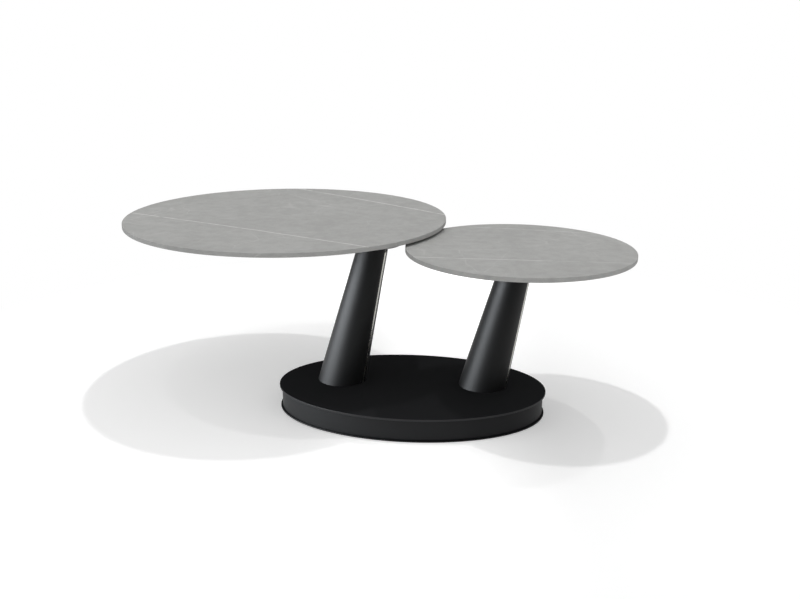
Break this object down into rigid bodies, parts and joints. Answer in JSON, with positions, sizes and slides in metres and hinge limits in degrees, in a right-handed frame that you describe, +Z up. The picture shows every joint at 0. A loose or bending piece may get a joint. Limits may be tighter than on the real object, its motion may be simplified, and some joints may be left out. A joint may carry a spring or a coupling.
{
  "type": "swivel coffee table",
  "caption": "Low table with overlapping round stone tops at two levels on leaning tapered legs over a weighted oval base; the higher top swivels on its leg.",
  "frame": {"origin": "middle of the oval base, on the floor", "axes": "+X along the oval, the way the legs lean; +Y to the back, away from the picture's camera; +Z up"},
  "size_m": [1.2331, 0.8682, 0.405],
  "materials": {
    "stone_top": "honed grey stone with thin pale veins",
    "base_paint": "matte black powder coat",
    "leg_paint": "satin black",
    "bright_strip": "polished",
    "concrete": "cast",
    "pad": "matte",
    "plain_steel": "milled",
    "fastener_steel": "zinc plated",
    "bearing_steel": "ground",
    "brass": "turned"
  },
  "bodies": {
    "base": {"small_top_slab": "stone_top", "base_lid": "base_paint", "base_band": "base_paint", "base_bottom_plate": "base_paint", "large_leg_shell": "leg_paint", "small_leg_shell": "leg_paint", "large_leg_strip": "bright_strip", "small_leg_strip": "bright_strip", "base_ballast": "concrete", "base_floor_pad": "pad", "base_posts": "plain_steel", "large_leg_foot_plate": "plain_steel", "small_leg_foot_plate": "plain_steel", "large_leg_head_plate": "plain_steel", "small_leg_head_plate": "plain_steel", "swivel_housing": "plain_steel", "small_carrier_disc": "plain_steel", "base_screws": "fastener_steel", "leg_bolts": "fastener_steel", "small_head_bolts": "fastener_steel", "small_disc_screws": "fastener_steel", "swivel_lower_race": "bearing_steel", "swivel_balls": "bearing_steel", "swivel_upper_bush": "brass", "swivel_lower_bush": "brass", "swivel_ball_cage": "brass", "small_slab_inserts": "brass"},
    "large_top": {"swivel_upper_race": "bearing_steel", "swivel_spindle": "plain_steel", "spindle_washer": "fastener_steel", "spindle_lock_nut": "fastener_steel", "large_carrier_disc": "plain_steel", "large_disc_screws": "fastener_steel", "large_slab_inserts": "brass", "large_top_slab": "stone_top"}
  },
  "joints": [
    {"name": "large_top_swivel", "type": "hinge", "parent": "base", "child": "large_top", "pos_m": [-0.09423, 0.0205, 0.3799], "axis": [0, 0, 1], "continuous": true}
  ]
}
